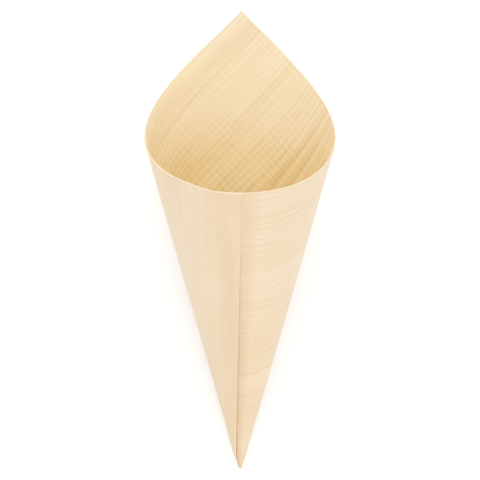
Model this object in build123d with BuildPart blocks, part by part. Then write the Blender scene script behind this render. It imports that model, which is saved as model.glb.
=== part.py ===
"""Food cone rolled from one square sheet of veneer, lying on the long side of its mouth.

The sheet's first corner is the tip of the cone and the opposite corner is the point of the mouth.
The two sides that meet at the tip come together along the front seam, where the left one lies over
a lap of the right one. The other two sides are the rim, which rises from the seam to the point.

Sizes are in millimetres. The cone lies along Y with its tip towards -Y and the seam on top, and the
line from the tip to the point rests on Z = 0.
"""

import os
from math import asin, cos, pi, radians, sin, tan

from build123d import *

# Sheet
sheet_side = 129.0  # each of the two sides that meet at the tip
sheet_thickness = 0.6  # two thin crossed plies glued as one
tip_corner = 90.0  # degrees, the corner of the sheet that becomes the tip

# Roll
lap_angle = 15.0  # degrees round the cone that the hidden side runs on under the flap
blunt_tip_radius = 0.42  # of the tight roll inside the flap, where the tip ends
hollow_floor_radius = 0.8  # of the hollow at its lower end, below which the tight turns fill the roll
rest_flat_depth = 0.25  # how far the back is pressed flat along the line that the cone lies on

# A full turn of the cone uses up the sheet's corner, which sets how slender the cone is
half_angle = asin(tip_corner / 360)
skin = sheet_thickness / cos(half_angle)  # the wall across a section square to the cone's axis
tip_height = (blunt_tip_radius + skin / 2) / tan(half_angle)
floor_height = (hollow_floor_radius + 2 * skin) / tan(half_angle)
point_distance = sheet_side / cos(radians(tip_corner / 2))  # from the tip corner, along the sheet
point_height = point_distance * cos(half_angle)

# Trimming tool for the rim
tool_margin = 5.0  # how far the tool, and the roll before it is trimmed, run past the wall
tool_stations = 19  # places along each side of the rim where the tool's edge is worked out

# Place: the outside of the back, pressed flat, lies on Z = 0, and its length is centred on Y = 0
tip_overhang = tip_height * cos(2 * half_angle) / cos(half_angle)
sharp_end = (0, -(point_distance + tip_overhang) / 2, -rest_flat_depth)
roll_plane = Plane(origin=sharp_end, x_dir=(1, 0, 0), z_dir=(0, cos(half_angle), sin(half_angle)))


def outside_section(height):
    """One turn of the sheet's outer face, square to the axis, closed at the flap's edge.

    Each half turn is a half circle. The right one is drawn in towards the back by half a wall, so that
    the sheet gains a whole wall in one turn and its left side comes to lie over its own start.
    """
    left_radius = height * tan(half_angle)
    right_radius = left_radius - skin / 2
    with BuildSketch(roll_plane.offset(height)) as section:
        with BuildLine():
            right = CenterArc((0, skin / 2), right_radius, -90, 180)
            left = CenterArc((0, 0), left_radius, 90, 180)
            Line(left @ 1, right @ 0)
        make_face()
    return section.sketch


def inside_section(height):
    """One turn of the sheet's inner face, square to the axis, closed at the hidden side of the lap."""
    left_radius = height * tan(half_angle) - skin
    right_radius = left_radius - skin / 2
    lap_radius = left_radius - skin
    with BuildSketch(roll_plane.offset(height)) as section:
        with BuildLine():
            lap = CenterArc((0, 0), lap_radius, -90 - lap_angle, lap_angle)
            CenterArc((0, skin / 2), right_radius, -90, 180)
            left = CenterArc((0, 0), left_radius, 90, 180 - lap_angle)
            Line(left @ 1, lap @ 0)
        make_face()
    return section.sketch


def rim_point(turn, radius):
    """Point on the rim's cut, which is square to the sheet, at a turn from the back and a radius."""
    along_sheet = sheet_side / cos(radians(tip_corner / 2) - abs(turn) * sin(half_angle))
    height = along_sheet / cos(half_angle) - radius * tan(half_angle)
    return roll_plane.from_local_coords((radius * sin(turn), radius * cos(turn), height))


with BuildPart() as veneer_cone:
    # The roll as a solid cone, from the blunt tip to above the point
    top_height = point_height + tool_margin
    loft([outside_section(tip_height), outside_section(top_height)], ruled=True)

    # The hollow, whose lowest line is pressed up one wall above the surface that the cone lies on
    hollow_ends = [inside_section(floor_height), inside_section(top_height + tool_margin)]
    hollow = loft(hollow_ends, ruled=True, mode=Mode.PRIVATE)
    hollow = split(hollow, bisect_by=Plane.XY.offset(sheet_thickness), keep=Keep.TOP, mode=Mode.PRIVATE)
    add(hollow, mode=Mode.SUBTRACT)

    # The rim's two straight cuts, one each side of the point
    inner_reach = sheet_side * sin(half_angle) - 2 * skin - tool_margin
    outer_reach = top_height * tan(half_angle) + tool_margin
    half_turns = [pi * station / (tool_stations - 1) for station in range(tool_stations)]
    for side in (1, -1):
        inner_edge, outer_edge = (
            Edge.make_spline([rim_point(side * turn, reach) for turn in half_turns], parameters=half_turns)
            for reach in (inner_reach, outer_reach)
        )
        cut_face = Face.make_surface_from_curves(inner_edge, outer_edge)
        extrude(cut_face, amount=top_height, dir=roll_plane.z_dir, mode=Mode.SUBTRACT)

    # The outside of the back, pressed flat
    split(bisect_by=Plane.XY, keep=Keep.TOP)

veneer_cone.part.label = "veneer_cone"

os.makedirs("parts", exist_ok=True)
export_step(veneer_cone.part, "parts/veneer_cone.step")
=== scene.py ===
"""Looks of a food cone rolled from crossed pine veneer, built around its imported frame.

The cone lies on its back with the tip towards -Y, and it is seen from above. Its sheet is modelled as
a flat square with a corner at the tip, rolled up point by point, so that the grain is laid out on the
flat sheet in millimetres and bends with the wood. Lengths here are millimetres, and become metres
where a mesh, a lamp or the camera is made.
"""
import logging
import math
from dataclasses import dataclass
from enum import Enum, IntEnum
from typing import Any

import bpy
import numpy as np
from mathutils import Matrix, Vector


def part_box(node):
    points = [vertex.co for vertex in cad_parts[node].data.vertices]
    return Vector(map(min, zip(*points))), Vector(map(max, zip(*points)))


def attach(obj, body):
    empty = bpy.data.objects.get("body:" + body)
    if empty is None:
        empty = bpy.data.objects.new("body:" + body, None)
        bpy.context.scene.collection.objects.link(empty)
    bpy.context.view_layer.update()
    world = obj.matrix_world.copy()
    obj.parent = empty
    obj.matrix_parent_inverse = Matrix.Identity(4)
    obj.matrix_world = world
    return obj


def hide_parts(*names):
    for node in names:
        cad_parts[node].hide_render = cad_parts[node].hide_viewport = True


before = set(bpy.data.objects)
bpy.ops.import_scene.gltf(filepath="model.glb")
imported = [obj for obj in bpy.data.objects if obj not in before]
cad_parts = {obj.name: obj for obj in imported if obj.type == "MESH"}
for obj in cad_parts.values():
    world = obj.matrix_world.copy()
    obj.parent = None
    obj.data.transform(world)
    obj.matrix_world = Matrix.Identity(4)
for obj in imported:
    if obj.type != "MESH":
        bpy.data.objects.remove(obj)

Tree = bpy.types.NodeTree
Socket = bpy.types.NodeSocket

MM = 0.001
FULL_TURN = 2 * math.pi
SHEET_PLACE = "sheet_place"  # mesh attribute: place on the flat sheet, across, up and into it, in mm
SHEET_SIDE = 129.0
SHEET_THICKNESS = 0.6
WOOD_IOR = 1.53  # cellulose
BLACK = (0.0, 0.0, 0.0, 1.0)
WHITE = (1.0, 1.0, 1.0, 1.0)

log = logging.getLogger("food_cone")


def linear(hex_colour: str) -> tuple[float, float, float, float]:
    """Turns an sRGB hex colour into the linear colour that a shader takes.

    Args:
        hex_colour: the colour as "#rrggbb".

    Returns:
        Linear red, green, blue and an alpha of one.
    """
    parts = [int(hex_colour[k : k + 2], 16) / 255 for k in (1, 3, 5)]
    lifted = [p / 12.92 if p <= 0.04045 else ((p + 0.055) / 1.055) ** 2.4 for p in parts]
    return (*lifted, 1.0)


def add_node(
    tree: Tree,
    kind: str,
    settings: dict[str, Any] | None = None,
    inputs: dict[str | int, Any] | None = None,
) -> bpy.types.Node:
    """Adds one node with its settings, and sets or links its inputs.

    Args:
        tree: the node tree to add to.
        kind: the node's type name without its ShaderNode prefix.
        settings: properties of the node itself.
        inputs: for each input's name or number, a value or the output socket to link from.

    Returns:
        The new node.
    """
    node = tree.nodes.new("ShaderNode" + kind)
    for name, value in (settings or {}).items():
        setattr(node, name, value)
    for name, value in (inputs or {}).items():
        if isinstance(value, Socket):
            tree.links.new(value, node.inputs[name])
        else:
            node.inputs[name].default_value = value
    return node


def new_material(name: str) -> tuple[bpy.types.Material, Tree]:
    """Makes a material with an empty node tree.

    Args:
        name: the material's name.

    Returns:
        The material and its node tree.
    """
    made = bpy.data.materials.new(name)
    made.use_nodes = True
    made.node_tree.nodes.clear()
    return made, made.node_tree


def place_on_sheet(tree: Tree) -> Socket:
    """Reads the place on the flat sheet, in mm, which the mesh carries as an attribute."""
    return add_node(tree, "Attribute", {"attribute_name": SHEET_PLACE}).outputs["Vector"]


def direct_rays(tree: Tree) -> Socket:
    """Picks out what the camera sees, also in gloss and through glass.

    Args:
        tree: the node tree to add to.

    Returns:
        1 for camera, glossy and transmission rays, 0 for those that only carry light.
    """
    path = add_node(tree, "LightPath")
    seen = path.outputs["Is Camera Ray"]
    for kind in ("Is Glossy Ray", "Is Transmission Ray"):
        seen = add_node(
            tree, "Math", {"operation": "MAXIMUM"}, {0: seen, 1: path.outputs[kind]}
        ).outputs[0]
    return seen


@dataclass(frozen=True)
class Fade:
    """A smooth change between two values, mostly distances along the sheet."""

    start: float
    end: float

    def rise(self, value: np.ndarray) -> np.ndarray:
        """Rises smoothly from 0 at the start to 1 at the end."""
        share = np.clip((value - self.start) / (self.end - self.start), 0, 1)
        return share * share * (3 - 2 * share)

    def fall(self, value: np.ndarray) -> np.ndarray:
        """Falls smoothly from 1 at the start to 0 at the end."""
        return 1 - self.rise(value)


class Grain(Enum):
    """Which way the wood's grain runs on the flat sheet: along its X side or along its Y side."""

    ALONG_X = 0
    ALONG_Y = 1


@dataclass(frozen=True)
class Stripes:
    """One layer of soft stripes in the wood: their usual width and length, and their own seed."""

    width: float
    length: float
    seed: float
    detail: float = 1.0  # octaves of finer stripes


@dataclass(frozen=True)
class LatewoodLine:
    """One growth line that shows as a darker stripe, at a distance across the grain."""

    across: float
    width: float  # from its middle to where it has faded out
    strength: float


@dataclass(frozen=True)
class SlicedPineFace:
    """Bare face of a sliced pine ply: pale cream wood with a satin, slightly uneven glow.

    The knife that slices the ply leaves fine shallow checks along the grain. They open wider and lie
    further apart towards the tip, where the sheet is bent tighter.
    """

    name: str
    grain: Grain
    seed: float
    light: str
    dark: str
    latewood: str
    # Colour of a check: the wood in it, with the shade inside it painted in
    check: str
    check_depth: float  # how strongly the face's own checks show, 0 to 1
    crossed_depth: float
    stripe_depth: float  # how strongly the growth of the wood varies from stripe to stripe
    painted_shade_tints: tuple[tuple[float, str], ...]  # painted shade: multiplies the colour, by distance from the tip corner
    near: float
    far: float  # distance from it at which only a share of them is left
    far_checks: float  # that share
    rim_spacing: float  # of the checks, at the sheet's far side
    corner_spacing: float  # of the checks, at the side that starts at the tip corner
    lines: tuple[LatewoodLine, ...]
    checked_from: float = -20.0  # distance across the grain at which the face's own checks begin
    crossed_from: float = -20.0
    darker_strip_slope: float = 0.0  # slope, up the sheet from its X side, up to which the strip beside the seam is drawn darker
    darker_strip_full_share: float = 0.25  # share of that slope up to which it is drawn fully darker
    darker_strip_tint: str = "#f9f3ec"

    # Real fibres are 0.04 mm wide, so they are drawn ten times as wide to show
    fibres: Stripes = Stripes(0.45, 22.0, seed=1.0, detail=2.0)
    growth: Stripes = Stripes(2.6, 60.0, seed=2.0, detail=1.5)
    bands: Stripes = Stripes(13.0, 120.0, seed=5.0, detail=2.0)
    band_depth: float = 1.3  # how strongly the broad bands show
    tone_range: float = 0.6  # how far the stripes' sum is from its mean where the wood is all light
    finer_share: float = 0.55  # how much each octave of finer stripes adds

    line_wander: Stripes = Stripes(40.0, 60.0, seed=7.3)
    line_sway: float = 3.2  # mm by which the growth lines wander
    line_patches: Stripes = Stripes(6.0, 30.0, seed=3.9, detail=2.0)
    line_patch_range: tuple[float, float] = (0.3, 0.6)  # where a patch is weakest and strongest
    weakest_line: float = 0.35

    check_wander: Stripes = Stripes(9.0, 40.0, seed=13.0)
    check_sway: float = 5.0  # radians by which the checks wander out of step
    check_crest: float = 0.05  # height of the wave, -1 to 1, above which it is a check
    check_patches: Stripes = Stripes(7.0, 14.0, seed=14.0, detail=1.5)
    check_patch_range: tuple[float, float] = (0.3, 0.68)
    weakest_check: float = 0.15
    check_onset: float = 20.0  # mm either side of where the checks begin
    crossed_seed: float = 8.0  # added to the seeds of the checks for the ply behind

    relief: float = 0.03  # depth of the checks
    fibre_relief: float = 0.5  # share of that by which the fibres stand up
    crossed_relief: float = 0.5
    ior: float = WOOD_IOR
    roughness: float = 0.45
    sheen: float = 0.1  # cut fibres that stand up catch light at a flat angle

    def runs_along_x(self, crossed: bool = False) -> bool:
        """Tells whether the grain, or that of the ply behind, runs along the sheet's X side."""
        return (self.grain is Grain.ALONG_X) is not crossed

    def across(self, tree: Tree, place: Socket, crossed: bool = False) -> Socket:
        """Gives the distance across the grain, from the side that starts at the tip corner.

        Args:
            tree: the material's node tree.
            place: place on the flat sheet, in mm.
            crossed: whether the grain is that of the ply behind.

        Returns:
            The distance in mm.
        """
        parts = add_node(tree, "SeparateXYZ", inputs={0: place})
        return parts.outputs["Y" if self.runs_along_x(crossed) else "X"]

    def layer(self, tree: Tree, place: Socket, stripes: Stripes, crossed: bool = False) -> Socket:
        """Lays one layer of stripes that run with the grain, or across it for the ply behind.

        Args:
            tree: the material's node tree.
            place: place on the flat sheet, in mm.
            stripes: the layer's stripes.
            crossed: whether they belong to the ply behind.

        Returns:
            The layer's strength, about 0.5 on average.
        """
        along, across = 1 / stripes.length, 1 / stripes.width
        scale = (along, across, 0.0) if self.runs_along_x(crossed) else (across, along, 0.0)
        seed = stripes.seed + (self.crossed_seed if crossed else 0.0)
        stretched = add_node(
            tree,
            "VectorMath",
            {"operation": "MULTIPLY_ADD"},
            {0: place, 1: scale, 2: (self.seed, seed, self.seed + seed)},
        )
        noise = add_node(
            tree,
            "TexNoise",
            inputs={
                "Vector": stretched.outputs[0],
                "Scale": 1.0,
                "Detail": stripes.detail,
                "Roughness": self.finer_share,
            },
        )
        return noise.outputs["Fac"]

    def checks(self, tree: Tree, place: Socket, crossed: bool = False) -> Socket:
        """Draws the knife checks: fine dark lines at an even distance, stronger in places.

        Args:
            tree: the material's node tree.
            place: place on the flat sheet, in mm.
            crossed: whether they belong to the ply behind.

        Returns:
            Depth of the checks, 0 between them and 1 where one is deepest.
        """
        across = self.across(tree, place, crossed)
        wander = self.layer(tree, place, self.check_wander, crossed)
        phase = add_node(tree, "Math", {"operation": "MULTIPLY"}, {0: wander, 1: 2 * self.check_sway})
        first, last = 1 / self.corner_spacing, 1 / self.rim_spacing
        frequency = add_node(
            tree,
            "Math",
            {"operation": "MULTIPLY_ADD"},
            {0: across, 1: math.pi * (last - first) / SHEET_SIDE, 2: FULL_TURN * first},
        )
        angle = add_node(
            tree,
            "Math",
            {"operation": "MULTIPLY_ADD"},
            {0: across, 1: frequency.outputs[0], 2: phase.outputs[0]},
        )
        wave = add_node(tree, "Math", {"operation": "SINE"}, {0: angle.outputs[0]})
        line = add_node(
            tree,
            "MapRange",
            {"interpolation_type": "SMOOTHSTEP"},
            {"Value": wave.outputs[0], "From Min": self.check_crest, "From Max": 1.0},
        )
        weak, strong = self.check_patch_range
        strength = add_node(
            tree,
            "MapRange",
            inputs={
                "Value": self.layer(tree, place, self.check_patches, crossed),
                "From Min": weak,
                "From Max": strong,
                "To Min": self.weakest_check,
            },
        )
        distance = add_node(tree, "VectorMath", {"operation": "LENGTH"}, {0: place})
        opening = add_node(
            tree,
            "MapRange",
            {"interpolation_type": "SMOOTHSTEP"},
            {
                "Value": distance.outputs["Value"],
                "From Min": self.near,
                "From Max": self.far,
                "To Min": 1.0,
                "To Max": self.far_checks,
            },
        )
        begin = self.crossed_from if crossed else self.checked_from
        starting = add_node(
            tree,
            "MapRange",
            inputs={
                "Value": across,
                "From Min": begin - self.check_onset,
                "From Max": begin + self.check_onset,
            },
        )
        shown = line.outputs[0]
        for factor in (strength, opening, starting):
            shown = add_node(
                tree, "Math", {"operation": "MULTIPLY"}, {0: shown, 1: factor.outputs[0]}
            ).outputs[0]
        return shown

    def painted_shade(self, tree: Tree, place: Socket) -> Socket:
        """Gives the painted shade, a slow change of colour with the distance from the tip corner.

        Args:
            tree: the material's node tree.
            place: place on the flat sheet, in mm.

        Returns:
            The colour to multiply the wood with.
        """
        distance = add_node(tree, "VectorMath", {"operation": "LENGTH"}, {0: place})
        furthest = SHEET_SIDE * math.sqrt(2)
        share = add_node(
            tree, "Math", {"operation": "DIVIDE"}, {0: distance.outputs["Value"], 1: furthest}
        )
        ramp = add_node(tree, "ValToRGB", inputs={0: share.outputs[0]})
        stops = ramp.color_ramp.elements
        for at, hex_colour in self.painted_shade_tints:
            stops.new(at / furthest).color = linear(hex_colour)
        stops[0].color = linear(self.painted_shade_tints[0][1])
        stops[-1].color = linear(self.painted_shade_tints[-1][1])
        return ramp.outputs["Color"]

    def darker_seam_strip(self, tree: Tree, place: Socket) -> Socket:
        """Finds the strip beside the seam that is drawn darker.

        Args:
            tree: the material's node tree.
            place: place on the flat sheet, in mm.

        Returns:
            How much darker it is drawn, 0 to 1.
        """
        parts = add_node(tree, "SeparateXYZ", inputs={0: place})
        slope = add_node(
            tree, "Math", {"operation": "DIVIDE"}, {0: parts.outputs["Y"], 1: parts.outputs["X"]}
        )
        soaked = add_node(
            tree,
            "MapRange",
            {"interpolation_type": "SMOOTHSTEP"},
            {
                "Value": slope.outputs[0],
                "From Min": self.darker_strip_full_share * self.darker_strip_slope,
                "From Max": self.darker_strip_slope,
                "To Min": 1.0,
                "To Max": 0.0,
            },
        )
        return soaked.outputs[0]

    def growth_lines(self, tree: Tree, place: Socket) -> Socket:
        """Draws the latewood lines across the sheet, a little wavy and uneven in strength.

        Args:
            tree: the material's node tree.
            place: place on the flat sheet, in mm.

        Returns:
            Strength of the lines, 0 between them.
        """
        swayed = add_node(
            tree,
            "Math",
            {"operation": "MULTIPLY_ADD"},
            {
                0: self.layer(tree, place, self.line_wander),
                1: self.line_sway,
                2: self.across(tree, place),
            },
        )
        share = add_node(tree, "Math", {"operation": "DIVIDE"}, {0: swayed.outputs[0], 1: SHEET_SIDE})
        ramp = add_node(tree, "ValToRGB", inputs={0: share.outputs[0]})
        stops = ramp.color_ramp.elements
        for line in self.lines:
            middle = line.across + self.line_sway / 2
            for offset, height in ((-line.width, 0.0), (0.0, line.strength), (line.width, 0.0)):
                stop = stops.new(max((middle + offset) / SHEET_SIDE, 0.0))
                stop.color = (height, height, height, 1.0)
        stops[0].color = stops[-1].color = BLACK
        weak, strong = self.line_patch_range
        fading = add_node(
            tree,
            "MapRange",
            inputs={
                "Value": self.layer(tree, place, self.line_patches),
                "From Min": weak,
                "From Max": strong,
                "To Min": self.weakest_line,
            },
        )
        shown = add_node(
            tree, "Math", {"operation": "MULTIPLY"}, {0: ramp.outputs["Color"], 1: fading.outputs[0]}
        )
        return shown.outputs[0]

    def lightness(self, tree: Tree, place: Socket, fibres: Socket) -> Socket:
        """Varies the wood between dark and light, in broad bands, growth stripes and fibres.

        Args:
            tree: the material's node tree.
            place: place on the flat sheet, in mm.
            fibres: the layer of fibres.

        Returns:
            0 where the wood is all dark, 1 where it is all light.
        """
        layers = (
            (self.layer(tree, place, self.bands), self.band_depth),
            (self.layer(tree, place, self.growth), self.stripe_depth),
            (fibres, self.stripe_depth),
        )
        tone: Socket | float = 0.0
        for layer, depth in layers:
            centred = add_node(tree, "Math", {"operation": "SUBTRACT"}, {0: layer, 1: 0.5})
            tone = add_node(
                tree, "Math", {"operation": "MULTIPLY_ADD"}, {0: centred.outputs[0], 1: depth, 2: tone}
            ).outputs[0]
        shade = add_node(
            tree,
            "MapRange",
            inputs={"Value": tone, "From Min": -self.tone_range, "From Max": self.tone_range},
        )
        return shade.outputs[0]

    def material(self) -> bpy.types.Material:
        """Builds the ply's material.

        Returns:
            The material, with colour, satin gloss and relief laid out on the flat sheet.
        """
        made, tree = new_material(self.name)
        place = place_on_sheet(tree)
        fibres = self.layer(tree, place, self.fibres)
        checks = self.checks(tree, place)
        crossed = self.checks(tree, place, crossed=True)

        # Coats of colour over the dark wood, each with how it covers and its share
        coats = [
            ("MIX", self.lightness(tree, place, fibres), linear(self.light)),
            ("MIX", self.growth_lines(tree, place), linear(self.latewood)),
            # Painted shade, by distance from the tip corner
            ("MULTIPLY", 1.0, self.painted_shade(tree, place)),
        ]
        # A darker strip beside the seam
        if self.darker_strip_slope:
            coats.append(("MULTIPLY", self.darker_seam_strip(tree, place), linear(self.darker_strip_tint)))
        for layer, depth in ((checks, self.check_depth), (crossed, self.crossed_depth)):
            share = add_node(tree, "Math", {"operation": "MULTIPLY"}, {0: layer, 1: depth})
            coats.append(("MIX", share.outputs[0], linear(self.check)))
        colour: Socket | tuple[float, ...] = linear(self.dark)
        for blend, share, coat in coats:
            colour = add_node(
                tree, "Mix", {"data_type": "RGBA", "blend_type": blend}, {0: share, 6: colour, 7: coat}
            ).outputs[2]

        # Relief, in depths of the face's own checks
        height: Socket | float = 0.0
        reliefs = ((fibres, self.fibre_relief), (checks, -1.0), (crossed, -self.crossed_relief))
        for layer, rise in reliefs:
            height = add_node(
                tree, "Math", {"operation": "MULTIPLY_ADD"}, {0: layer, 1: rise, 2: height}
            ).outputs[0]
        bump = add_node(
            tree, "Bump", inputs={"Strength": 1.0, "Distance": self.relief * MM, "Height": height}
        )
        surface = add_node(
            tree,
            "BsdfPrincipled",
            inputs={
                "Base Color": colour,
                "Roughness": self.roughness,
                "IOR": self.ior,
                "Sheen Weight": self.sheen,
                "Normal": bump.outputs[0],
            },
        )
        add_node(tree, "OutputMaterial", inputs={0: surface.outputs[0]})
        return made


@dataclass(frozen=True)
class KnifeCutEdge:
    """Knife-cut edge of the crossed sheet, dry and matt.

    The cut shows as a pale line of side grain beside a darker one of end grain, with the glue between.
    """

    name: str
    side_grain: str
    end_grain: str
    glue: str
    glue_share: float = 0.06  # of the thickness, either side of the middle
    spots: float = 2.5  # per mm: cut fibres are finer, and wouldn't show
    spot_detail: float = 3.0
    spot_depth: float = 0.35
    relief: float = 0.05
    relief_strength: float = 0.6
    ior: float = WOOD_IOR
    roughness: float = 0.7

    def material(self) -> bpy.types.Material:
        """Builds the material of the cut edge.

        Returns:
            The material, which changes from ply to ply through the sheet's thickness.
        """
        made, tree = new_material(self.name)
        place = place_on_sheet(tree)
        depth = add_node(tree, "SeparateXYZ", inputs={0: place}).outputs["Z"]
        share = add_node(tree, "Math", {"operation": "DIVIDE"}, {0: depth, 1: SHEET_THICKNESS})
        plies = add_node(tree, "ValToRGB", inputs={0: share.outputs[0]})
        stops = plies.color_ramp.elements
        stops[0].color = linear(self.side_grain)
        stops[1].color = linear(self.end_grain)
        middle = (
            (0.5 - self.glue_share, self.side_grain),
            (0.5, self.glue),
            (0.5 + self.glue_share, self.end_grain),
        )
        for at, hex_colour in middle:
            stops.new(at).color = linear(hex_colour)
        spotty = add_node(
            tree, "TexNoise", inputs={"Vector": place, "Scale": self.spots, "Detail": self.spot_detail}
        ).outputs["Fac"]
        toned = add_node(
            tree,
            "Mix",
            {"data_type": "RGBA", "blend_type": "OVERLAY"},
            {0: self.spot_depth, 6: plies.outputs["Color"], 7: spotty},
        )
        bump = add_node(
            tree,
            "Bump",
            inputs={"Strength": self.relief_strength, "Distance": self.relief * MM, "Height": spotty},
        )
        surface = add_node(
            tree,
            "BsdfPrincipled",
            inputs={
                "Base Color": toned.outputs[2],
                "Roughness": self.roughness,
                "IOR": self.ior,
                "Normal": bump.outputs[0],
            },
        )
        add_node(tree, "OutputMaterial", inputs={0: surface.outputs[0]})
        return made


# Sliced pine, grain along the flap's edge. It gives the outside its plain pale left half, and fine
# arcs of checks and growth lines on the right half, where the roll turns the grain across the cone.
OUTER_PLY = SlicedPineFace(
    name="sliced_pine_outer_ply",
    grain=Grain.ALONG_Y,
    seed=3.1,
    light="#f3e1c8",
    dark="#e6cda7",
    latewood="#d8b583",
    check="#cb9d74",
    check_depth=0.12,
    crossed_depth=0.01,
    stripe_depth=0.4,
    # Painted shade: a little darker towards the tip
    painted_shade_tints=((12.0, "#fffdfb"), (30.0, "#fdfaf5"), (55.0, "#fefcf9"), (90.0, "#ffffff")),
    near=15.0,
    far=90.0,
    far_checks=1.0,
    rim_spacing=2.15,
    corner_spacing=3.9,
    checked_from=40.0,
    darker_strip_slope=0.07,
    lines=(
        LatewoodLine(118.0, 1.2, 0.15),
        LatewoodLine(73.0, 0.8, 0.14),
        LatewoodLine(69.0, 1.0, 0.18),
        LatewoodLine(62.5, 0.8, 0.14),
        LatewoodLine(58.0, 0.9, 0.18),
        LatewoodLine(54.3, 0.8, 0.18),
        LatewoodLine(50.0, 1.1, 0.4),
        LatewoodLine(38.5, 1.4, 0.15),
        LatewoodLine(29.0, 1.0, 0.1),
        LatewoodLine(-1.4, 27.0, 0.22),  # a broad deeper tone along the flap's edge
    ),
)

# Sliced pine, grain square to the flap's edge. It gives the hollow its warmer slanting growth lines,
# and the square pattern of the two plies' checks, which is strongest deep in the mouth.
INNER_PLY = SlicedPineFace(
    name="sliced_pine_inner_ply",
    grain=Grain.ALONG_X,
    seed=8.4,
    light="#f4e5c7",
    dark="#e8d1a6",
    latewood="#d3a252",
    check="#bd9256",
    check_depth=0.21,
    crossed_depth=0.17,
    stripe_depth=0.7,
    # Painted shade: warmer deep in the hollow, and a little darker near the sheet's far corner
    painted_shade_tints=(
        (124.0, "#fbf8e4"),
        (134.0, "#fffdf5"),
        (141.0, "#ffffff"),
        (158.0, "#ffffff"),
        (167.0, "#fafafb"),
        (178.0, "#f5f6f9"),
    ),
    near=122.0,
    far=146.0,
    far_checks=0.42,
    rim_spacing=1.85,
    corner_spacing=9.0,
    crossed_from=50.0,
    lines=(
        LatewoodLine(122.6, 3.0, 0.22),
        LatewoodLine(118.6, 0.9, 0.24),
        LatewoodLine(100.0, 1.2, 0.16),
        LatewoodLine(98.0, 0.6, 0.26),
        LatewoodLine(87.2, 0.8, 0.22),
        LatewoodLine(77.4, 0.7, 0.16),
        LatewoodLine(72.0, 1.7, 0.38),
        LatewoodLine(66.4, 2.2, 0.3),
        LatewoodLine(61.0, 2.2, 0.26),
        LatewoodLine(56.0, 2.6, 0.34),
    ),
)

# Pine cut square with a knife, which gives the rim a thin pale line
CUT_EDGE = KnifeCutEdge(
    name="knife_cut_veneer_edge",
    side_grain="#dbcaab",
    end_grain="#d2bc97",
    glue="#c5a578",
)

# The same cut, aslant through the flap's edge, in paler colours that paint a highlight on it: a pale
# line beside its own shadow
FLAP_EDGE_PAINTED_HIGHLIGHT = KnifeCutEdge(
    name="knife_cut_flap_edge_painted_highlight",
    side_grain="#f5e6cc",
    end_grain="#efdcbb",
    glue="#e6d0ab",
)


class SheetFace(IntEnum):
    """The faces of a piece of sheet, numbered as its materials."""

    OUTER = 0
    INNER = 1
    CUT = 2
    FLAP_CUT = 3


FINISHES = {
    SheetFace.OUTER: OUTER_PLY,
    SheetFace.INNER: INNER_PLY,
    SheetFace.CUT: CUT_EDGE,
    SheetFace.FLAP_CUT: FLAP_EDGE_PAINTED_HIGHLIGHT,
}


@dataclass(frozen=True)
class RimTrim:
    """How far the sheet's two rim sides are out of true, at a distance along them from the seam.

    The left side is cut across the outer grain, so that it is a little ragged.
    """

    short_by: float = 1.25  # how far both sides fall short at the seam
    right_short: Fade = Fade(24.0, 72.0)  # where that dies out
    left_short: Fade = Fade(4.0, 22.0)
    left_bow: float = 0.5  # how far the left side stands proud past its middle
    bow_begins: Fade = Fade(20.0, 70.0)
    left_fall: float = 0.85  # how far it falls back towards the point
    fall_begins: Fade = Fade(88.0, 128.0)
    notch_depth: float = 0.14
    notch_pitch: float = 4.5
    notch_crest: float = 0.6  # height of the wave, 0 to 1, above which it is a notch
    notch_sway: float = 1.7  # radians by which the notches wander out of step
    notch_sway_rate: float = 0.31  # radians per mm at which they do
    notches_begin: Fade = Fade(45.0, 60.0)

    def right(self, distance: np.ndarray) -> np.ndarray:
        """Gives how far the right side stands proud of true."""
        return -self.short_by * self.right_short.fall(distance)

    def left(self, distance: np.ndarray) -> np.ndarray:
        """Gives how far the left side stands proud of true.

        Args:
            distance: distances along the side from the seam.

        Returns:
            The distances by which it stands proud, below 0 where it falls short.
        """
        short = self.short_by * self.left_short.fall(distance)
        bow = self.left_bow * self.bow_begins.rise(distance)
        fall = self.left_fall * self.fall_begins.rise(distance)
        sway = self.notch_sway * np.sin(distance * self.notch_sway_rate)
        wave = 0.5 + 0.5 * np.sin(distance * FULL_TURN / self.notch_pitch + sway)
        notch = np.maximum(wave - self.notch_crest, 0) / (1 - self.notch_crest)
        return bow - fall - short - self.notch_depth * notch * self.notches_begin.rise(distance)


@dataclass
class SheetPiece:
    """One closed piece of sheet, as mesh data."""

    points: np.ndarray  # in mm
    faces: np.ndarray  # four point numbers each
    finishes: np.ndarray  # which SheetFace each face is
    flat: np.ndarray  # each point's place on the flat sheet


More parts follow.
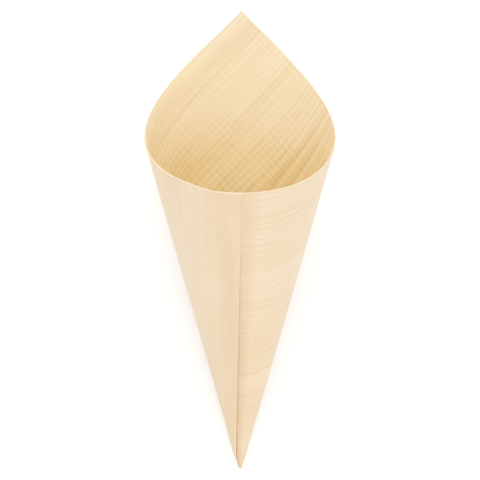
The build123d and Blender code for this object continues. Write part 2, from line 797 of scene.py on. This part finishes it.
@dataclass
class RolledCone:
    """The cone: one square sheet of veneer, rolled round its corner and glued along a lap.

    A place on the sheet is a turn round the cone, in radians from the seam towards +X, and a distance
    along the sheet from its sharp corner, with a depth below the outer face.
    """

    node: str = "veneer_cone"
    tip_corner: float = 90.0  # degrees
    rest_flat: float = 0.25  # how far the back is pressed flat where the cone lies on it
    trim: RimTrim = RimTrim()
    layer_step: float = 1.01  # thicknesses from one layer of the roll to the next

    # Lap and flap
    lap: float = 15.0  # degrees that the hidden side runs on under the flap
    least_cover: float = 1.4  # laps that the flap always covers
    sink_pull: float = 2.5  # how much nearer to the seam the sheet dips under itself at the tip
    sink_fade: Fade = Fade(60.0, 125.0)
    flap_start: float = -2.24  # where the flap's edge would pass the sharp corner, to the right of it
    flap_lean: float = 0.0195  # how far the flap's edge leans to the right, per mm along the sheet
    flap_hook: float = 1.2  # how far the flap's edge turns to the right at the tip
    hook_fade: Fade = Fade(4.6, 8.6)
    flap_gap: float = 0.5  # how far the flap stands off the lap where it stands off most
    gap_opens: Fade = Fade(5.0, 14.0)
    gap_closes: Fade = Fade(60.0, 122.0)
    flap_spring: float = 8.0  # how far from its edge the flap starts to stand off
    flap_slant: float = 0.35  # how far the knife ran aslant through the flap's edge, per thickness

    # Tip
    tip_sway: float = 0.2  # how far the tip lies to the right
    sway_fade: Fade = Fade(10.0, 120.0)
    tight_share: float = 0.2  # of the radius that each turn takes up in the tight tip
    tip_end: float = 2.95  # along the sheet, where the roll ends
    flap_end: float = 3.45  # where the flap ends
    outer_end: float = 6.4  # where the outermost turn ends on its right side
    outer_slant: float = 0.5  # how far its end there slants either way
    longest_at: float = 0.6 * math.pi  # turn at which it reaches furthest down
    to_flap_end: Fade = Fade(1.05 * math.pi, 1.45 * math.pi)  # turns where it runs on to the flap's end
    roll_length: float = 11.0  # of the tight turns inside, along the sheet
    roll_turns: float = 2.1
    roll_gap: float = 3.0  # degrees between their end and the hidden side

    # Mesh
    columns: int = 340
    flap_columns: int = 26  # of these, closer together towards the flap's edge
    flap_share: float = 0.955  # share of the way round at which they begin
    rows: int = 104
    tip_rows: int = 18
    tip_share: float = 0.06
    rim_rows: int = 12
    rim_share: float = 0.965
    roll_columns: int = 90
    roll_rows: int = 24
    edge_depths: tuple[float, ...] = (0.14, 0.5, 0.86)  # shares of the thickness with an own point
    edge_bulges: tuple[float, ...] = (0.05, 0.07, 0.05)  # how far they stand out, per thickness

    def __post_init__(self) -> None:
        """Works out the roll's angle and its place from the frame."""
        half_angle = math.asin(self.tip_corner / 360)
        self.sine, self.cosine = math.sin(half_angle), math.cos(half_angle)
        reach = SHEET_SIDE / math.cos(math.radians(self.tip_corner / 2))
        point_of_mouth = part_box(self.node)[1] / MM
        self.sharp_end = np.array([0.0, point_of_mouth.y - reach, -self.rest_flat])
        self.axis = np.array([0.0, self.cosine, self.sine])
        self.down = np.array([0.0, self.sine, -self.cosine])
        self.side = np.array([1.0, 0.0, 0.0])

    def radius(self, along: np.ndarray) -> np.ndarray:
        """Gives the cone's radius, square to its axis, at a distance along the sheet."""
        return along * self.sine

    def wall(self, along: np.ndarray) -> np.ndarray:
        """Gives the sheet's thickness, which is squeezed where the tip is rolled tight."""
        return np.minimum(SHEET_THICKNESS, self.tight_share * self.radius(along))

    def flap_edge(self, along: np.ndarray) -> np.ndarray:
        """Gives the turn at which the flap ends, past a full turn where it leans over the middle."""
        hook = self.flap_hook * self.hook_fade.fall(along)
        return FULL_TURN + (self.flap_start + self.flap_lean * along + hook) / self.radius(along)

    def hidden_edge(self, along: np.ndarray) -> np.ndarray:
        """Gives the turn at which the sheet starts, under the flap."""
        lap = math.radians(self.lap)
        return np.minimum(-lap, self.flap_edge(along) - FULL_TURN - self.least_cover * lap)

    def rim(self, turn: np.ndarray) -> np.ndarray:
        """Gives how far along the sheet its rim is, at a turn.

        Args:
            turn: turns round the cone, in radians.

        Returns:
            Distance of the rim from the sharp corner.
        """
        middle = math.radians(self.tip_corner / 2)
        spread = turn * self.sine
        on_left = spread > middle
        left_spread = np.maximum(spread, middle)
        distance = np.where(on_left, SHEET_SIDE / np.tan(left_spread), SHEET_SIDE * np.tan(spread))
        straight = np.where(on_left, SHEET_SIDE / np.sin(left_spread), SHEET_SIDE / np.cos(spread))
        return straight + np.where(on_left, self.trim.left(distance), self.trim.right(distance))

    def place(self, turn: np.ndarray, along: np.ndarray, depth: np.ndarray) -> np.ndarray:
        """Rolls places on the sheet up into the frame.

        Args:
            turn: radians round the cone from the seam. Below 0 is under the flap.
            along: distance along the sheet from its sharp corner.
            depth: share of the sheet's thickness below the outer face, 0 to 1.

        Returns:
            The points, in mm.
        """
        wall = self.wall(along)
        inner_turns = -np.floor(turn / FULL_TURN)
        this_turn = np.mod(turn, FULL_TURN)
        sink = np.where(this_turn < math.pi, (1 + np.cos(this_turn)) / 2, 0)
        sink = sink ** (1 + self.sink_pull * self.sink_fade.fall(along))
        to_edge = (self.flap_edge(along) - turn) * self.radius(along)
        gap = self.flap_gap * self.gap_opens.rise(along) * self.gap_closes.fall(along)
        lift = gap * np.clip(1 - to_edge / self.flap_spring, 0, 1) ** 2 * (turn > math.pi)
        inward = (inner_turns + sink) * wall * self.layer_step - lift
        outer = self.point(turn, along, inward)
        pressed = np.maximum(-outer[..., 2], 0)
        placed = self.point(turn, along, inward + depth * wall)
        placed[..., 2] += pressed
        return placed

    def point(self, turn: np.ndarray, along: np.ndarray, inward: np.ndarray) -> np.ndarray:
        """Gives points of the plain cone, moved inward square to its wall.

        Args:
            turn: radians round the cone from the seam.
            along: distance along the sheet from its sharp corner.
            inward: how far the points are moved.

        Returns:
            The points, in mm.
        """
        radial = (self.radius(along) - inward * self.cosine)[..., None]
        axial = (along * self.cosine + inward * self.sine)[..., None]
        out = np.sin(turn)[..., None] * self.side - np.cos(turn)[..., None] * self.down
        sway = (self.tip_sway * self.sway_fade.fall(along))[..., None]
        return self.sharp_end + radial * out + axial * self.axis + sway * self.side

    def flat_place(self, turn: np.ndarray, along: np.ndarray, depth: np.ndarray) -> np.ndarray:
        """Gives a place on the flat sheet: across and up from its corner, and depth, in mm."""
        spread = turn * self.sine
        return np.stack([along * np.cos(spread), along * np.sin(spread), depth * self.wall(along)], -1)

    def outer_turn(self) -> tuple[np.ndarray, np.ndarray]:
        """Lays out the grid of the turn that shows, from the hidden edge to the flap's edge.

        Returns:
            The turn and the distance along the sheet of each grid point.
        """
        main_columns = self.columns - self.flap_columns
        share_round = np.concatenate(
            [
                np.linspace(0, self.flap_share, main_columns, endpoint=False),
                closing_steps(self.flap_share, self.flap_columns),
            ]
        )
        main_rows = self.rows - self.tip_rows - self.rim_rows
        share_up = np.concatenate(
            [
                np.linspace(0, self.tip_share, self.tip_rows, endpoint=False),
                np.linspace(self.tip_share, self.rim_share, main_rows, endpoint=False),
                closing_steps(self.rim_share, self.rim_rows),
            ]
        )
        # Where the edges are depends on how far along the sheet they are, so this closes in on both
        passes = 6
        along = np.full((self.rows, self.columns), SHEET_SIDE / 2)
        for _ in range(passes):
            start, end = self.hidden_edge(along), self.flap_edge(along)
            turn = start + (end - start) * share_round[None, :]
            low = self.tip_of_outer_turn(turn[:1, :])
            high = self.rim(turn[-1:, :])
            along = low + (high - low) * share_up[:, None]
        return turn, along

    def tip_of_outer_turn(self, turn: np.ndarray) -> np.ndarray:
        """Gives where the outermost turn ends at the tip: short on the right, long at the flap.

        Args:
            turn: turns round the cone, in radians.

        Returns:
            Distance of its end along the sheet.
        """
        flap_side = self.to_flap_end.rise(turn)
        slanted = self.outer_end - self.outer_slant * np.cos(turn - self.longest_at)
        return slanted * (1 - flap_side) + self.flap_end * flap_side

    def tight_roll(self) -> tuple[np.ndarray, np.ndarray]:
        """Lays out the grid of the tight turns inside the tip.

        Returns:
            The turn and the distance along the sheet of each grid point.
        """
        share_round = np.linspace(0, 1, self.roll_columns)[None, :]
        share_up = np.linspace(0, 1, self.roll_rows)[:, None]
        along = np.repeat(self.tip_end + self.roll_length * share_up, self.roll_columns, axis=1)
        last = self.hidden_edge(along) - math.radians(self.roll_gap)
        turn = last - self.roll_turns * FULL_TURN * (1 - share_round)
        return turn, along

    def sheet_piece(self, turn: np.ndarray, along: np.ndarray, slant: float = 0.0) -> SheetPiece:
        """Makes one closed piece of sheet from a grid of places on its outer face.

        Args:
            turn: turn of each place, rows from the tip to the rim by columns round the cone.
            along: distance along the sheet of each place.
            slant: how far the inner face runs on past the outer one at the last column, per thickness.

        Returns:
            The piece.
        """
        rows, columns = turn.shape
        at_row, at_column = walk_round(rows, columns)
        out_along = (at_row == rows - 1) * 1.0 - (at_row == 0) * 1.0
        out_turn = (at_column == columns - 1) * 1.0 - (at_column == 0) * 1.0

        points, flat = [], []
        for depth in (0.0, 1.0):
            share = np.full(turn.shape, depth)
            cut_turn = turn.copy()
            cut_turn[:, -1] += slant * depth * self.wall(along[:, -1]) / self.radius(along[:, -1])
            points.append(self.place(cut_turn, along, share).reshape(-1, 3))
            flat.append(self.flat_place(cut_turn, along, share).reshape(-1, 3))
        for depth, bulge in zip(self.edge_depths, self.edge_bulges):
            loop_along = along[at_row, at_column]
            loop_along = loop_along + bulge * out_along * self.wall(loop_along)
            outward = bulge * out_turn + slant * depth * (out_turn > 0)
            loop_turn = turn[at_row, at_column]
            loop_turn = loop_turn + outward * self.wall(loop_along) / self.radius(loop_along)
            share = np.full(len(at_row), depth)
            points.append(self.place(loop_turn, loop_along, share))
            flat.append(self.flat_place(loop_turn, loop_along, share))

        grid = np.arange(turn.size).reshape(rows, columns)
        corners = [grid[:-1, :-1], grid[:-1, 1:], grid[1:, 1:], grid[1:, :-1]]
        outer = np.stack(corners, -1).reshape(-1, 4)
        inner = outer[:, ::-1] + turn.size
        border = grid[at_row, at_column]
        rings = [border]
        for ring in range(len(self.edge_depths)):
            rings.append(2 * turn.size + ring * len(border) + np.arange(len(border)))
        rings.append(border + turn.size)
        cuts = [
            np.stack([a, b, np.roll(b, -1), np.roll(a, -1)], -1) for a, b in zip(rings[:-1], rings[1:])
        ]
        on_flap = (out_turn > 0) & (slant > 0)
        finishes = [
            np.full(len(outer), SheetFace.OUTER),
            np.full(len(inner), SheetFace.INNER),
            np.tile(np.where(on_flap, SheetFace.FLAP_CUT, SheetFace.CUT), len(cuts)),
        ]
        return SheetPiece(
            points=np.concatenate(points),
            faces=np.concatenate([outer, inner, *cuts]),
            finishes=np.concatenate(finishes),
            flat=np.concatenate(flat),
        )

    def build(self) -> bpy.types.Object:
        """Builds the cone as one object of two closed meshes, the turn that shows and the tight roll.

        Returns:
            The object, with its place on the flat sheet as a mesh attribute.
        """
        outer = self.sheet_piece(*self.outer_turn(), slant=self.flap_slant)
        roll = self.sheet_piece(*self.tight_roll())
        points = np.concatenate([outer.points, roll.points]) * MM
        faces = np.concatenate([outer.faces, roll.faces + len(outer.points)])
        finishes = np.concatenate([outer.finishes, roll.finishes])
        flat = np.concatenate([outer.flat, roll.flat])
        mesh = bpy.data.meshes.new("rolled_cone")
        mesh.from_pydata(points.tolist(), [], faces.tolist())
        mesh.polygons.foreach_set("material_index", finishes.astype(np.int32))
        mesh.shade_smooth()
        self.sharpen(mesh, finishes)
        attribute = mesh.attributes.new(SHEET_PLACE, "FLOAT_VECTOR", "POINT")
        attribute.data.foreach_set("vector", flat.astype(np.float32).ravel())
        mesh.validate()
        piece = bpy.data.objects.new("rolled_cone", mesh)
        bpy.context.scene.collection.objects.link(piece)
        return piece

    def sharpen(self, mesh: bpy.types.Mesh, finishes: np.ndarray) -> None:
        """Marks the edges between faces of different finish as sharp.

        Args:
            mesh: the cone's mesh.
            finishes: which SheetFace each face is.
        """
        edges = np.zeros(len(mesh.loops), np.int32)
        mesh.loops.foreach_get("edge_index", edges)
        corner_finishes = np.repeat(finishes, 4)
        lowest = np.full(len(mesh.edges), max(SheetFace))
        highest = np.full(len(mesh.edges), min(SheetFace))
        np.minimum.at(lowest, edges, corner_finishes)
        np.maximum.at(highest, edges, corner_finishes)
        attribute = mesh.attributes.new("sharp_edge", "BOOLEAN", "EDGE")
        attribute.data.foreach_set("value", lowest != highest)

    def dress(self, piece: bpy.types.Object) -> None:
        """Gives the cone the finishes of its faces."""
        for face in SheetFace:
            piece.data.materials.append(FINISHES[face].material())


def closing_steps(start: float, count: int) -> np.ndarray:
    """Gives shares from the start to 1, in steps that get shorter towards 1."""
    steepness = 1.5
    return start + (1 - start) * (1 - (1 - np.linspace(0, 1, count)) ** steepness)


def walk_round(rows: int, columns: int) -> tuple[np.ndarray, np.ndarray]:
    """Walks once round the border of a grid.

    Args:
        rows: rows of the grid.
        columns: columns of the grid.

    Returns:
        The row and the column of each place on the way.
    """
    loop = [(0, column) for column in range(columns - 1)]
    loop += [(row, columns - 1) for row in range(rows - 1)]
    loop += [(rows - 1, column) for column in range(columns - 1, 0, -1)]
    loop += [(row, 0) for row in range(rows - 1, 0, -1)]
    at_row, at_column = np.array(loop).T
    return at_row, at_column


@dataclass(frozen=True)
class SoftBox:
    """A square soft box that points at the middle of the cone."""

    name: str
    spot: tuple[float, float, float]
    share: float  # the light that it adds on a white card that faces it, where 1 makes it white
    size: float = 500.0

    def build(self) -> None:
        """Adds the lamp."""
        spot = Vector(self.spot) * MM
        data = bpy.data.lights.new(self.name, "AREA")
        data.shape = "SQUARE"
        data.size = self.size * MM
        # A matt white card has a strength of 1 at pi watts per square metre, and the lamp, matt too,
        # throws its power divided by pi and the distance squared on a card that faces it
        data.energy = self.share * math.pi * math.pi * spot.length_squared
        lamp = bpy.data.objects.new(self.name, data)
        lamp.location = spot
        lamp.rotation_mode = "QUATERNION"
        lamp.rotation_quaternion = spot.to_track_quat("Z", "Y")
        bpy.context.scene.collection.objects.link(lamp)


@dataclass(frozen=True)
class WhiteLaminate:
    """White laminate of the table top, pressed smooth: plain matt white that takes a soft shadow."""

    name: str = "white_laminate"
    colour: str = "#e5e5e4"
    glow: float = 0.28  # added for what the camera sees, so that it comes out pure white

    def material(self) -> bpy.types.Material:
        """Builds the laminate's material.

        Returns:
            The material.
        """
        made, tree = new_material(self.name)
        matt = add_node(tree, "BsdfDiffuse", inputs={"Color": linear(self.colour)})
        seen = add_node(tree, "Math", {"operation": "MULTIPLY"}, {0: direct_rays(tree), 1: self.glow})
        glow = add_node(tree, "Emission", inputs={"Color": WHITE, "Strength": seen.outputs[0]})
        both = add_node(tree, "AddShader", inputs={0: matt.outputs[0], 1: glow.outputs[0]})
        add_node(tree, "OutputMaterial", inputs={0: both.outputs[0]})
        return made


@dataclass
class Studio:
    """A white table under soft daylight, and the camera that looks down on it."""

    sharp_end: np.ndarray  # of the cone
    axis: np.ndarray  # of the cone
    table: WhiteLaminate = WhiteLaminate()
    table_size: float = 3000.0
    look_at_share: float = 0.75  # of the sheet's side along the cone's axis, from its sharp end
    distance_share: float = 3.5  # of the sheet's side, from there to the camera
    lean: float = 2.88  # degrees that the camera leans towards the mouth
    roll: float = 0.18  # degrees
    shift_up: float = 0.63  # mm that the picture's middle lies past that place, towards the mouth
    shift_left: float = 0.14
    focal_pixels: float = 1211.1  # for a picture 480 pixels wide
    picture: int = 480
    sensor: float = 36.0
    nearest: float = 10.0  # what the camera still shows
    furthest: float = 20000.0
    sky: float = 0.93  # strength of the even light, where 1 is white
    key: SoftBox = SoftBox("soft_box_beyond_mouth", (0.0, 1000.0, 400.0), share=0.51)
    fill: SoftBox = SoftBox("soft_box_right_of_tip", (330.0, -900.0, 950.0), share=0.15)

    def add_camera(self) -> None:
        """Adds the camera, straight above and a little towards the mouth."""
        lean = math.radians(self.lean)
        back = Vector((0, math.sin(lean), math.cos(lean)))
        up = Vector((0, math.cos(lean), -math.sin(lean)))
        right = up.cross(back)
        target = Vector(self.sharp_end + self.look_at_share * SHEET_SIDE * self.axis)
        aim = target + up * self.shift_up - right * self.shift_left
        turned = Matrix.Rotation(math.radians(self.roll), 3, back)
        right, up = turned @ right, turned @ up
        data = bpy.data.cameras.new("camera")
        data.lens = self.focal_pixels / self.picture * self.sensor
        data.sensor_width = self.sensor
        data.clip_start, data.clip_end = self.nearest * MM, self.furthest * MM
        camera = bpy.data.objects.new("camera", data)
        rotation = Matrix((right, up, back)).transposed().to_4x4()
        spot = (aim + back * self.distance_share * SHEET_SIDE) * MM
        camera.matrix_world = Matrix.Translation(spot) @ rotation
        bpy.context.scene.collection.objects.link(camera)
        bpy.context.scene.camera = camera

    def add_table(self) -> None:
        """Adds the table top, which keeps the cone's soft shadow."""
        half = self.table_size / 2 * MM
        corners = [(-half, -half, 0), (half, -half, 0), (half, half, 0), (-half, half, 0)]
        mesh = bpy.data.meshes.new("table_top")
        mesh.from_pydata(corners, [], [(0, 1, 2, 3)])
        mesh.materials.append(self.table.material())
        table = bpy.data.objects.new("table_top", mesh)
        bpy.context.scene.collection.objects.link(table)

    def add_sky(self) -> None:
        """Adds even white light from all round, which the camera and gloss see as pure white."""
        world = bpy.data.worlds.new("white_room")
        world.use_nodes = True
        tree = world.node_tree
        tree.nodes.clear()
        strength = add_node(tree, "MapRange", inputs={"Value": direct_rays(tree), "To Min": self.sky})
        sky = add_node(tree, "Background", inputs={"Color": WHITE, "Strength": strength.outputs[0]})
        add_node(tree, "OutputWorld", inputs={0: sky.outputs[0]})
        bpy.context.scene.world = world

    def build(self) -> None:
        """Adds the camera, table, sky and lamps, and sets how the picture shows colour."""
        self.add_camera()
        self.add_table()
        self.add_sky()
        for lamp in (self.key, self.fill):
            lamp.build()
            log.info("%s: share of light %.2f", lamp.name, lamp.share)
        bpy.context.scene.view_settings.view_transform = "Standard"


def main() -> None:
    """Builds the cone and its studio."""
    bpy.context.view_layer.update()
    logging.basicConfig(level=logging.INFO, format="%(name)s: %(message)s")
    cone = RolledCone()
    piece = cone.build()
    cone.dress(piece)
    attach(piece, "root")
    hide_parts(cone.node)
    log.info("%s: %d faces", piece.name, len(piece.data.polygons))
    Studio(cone.sharp_end, cone.axis).build()


if __name__ == "__main__":
    main()
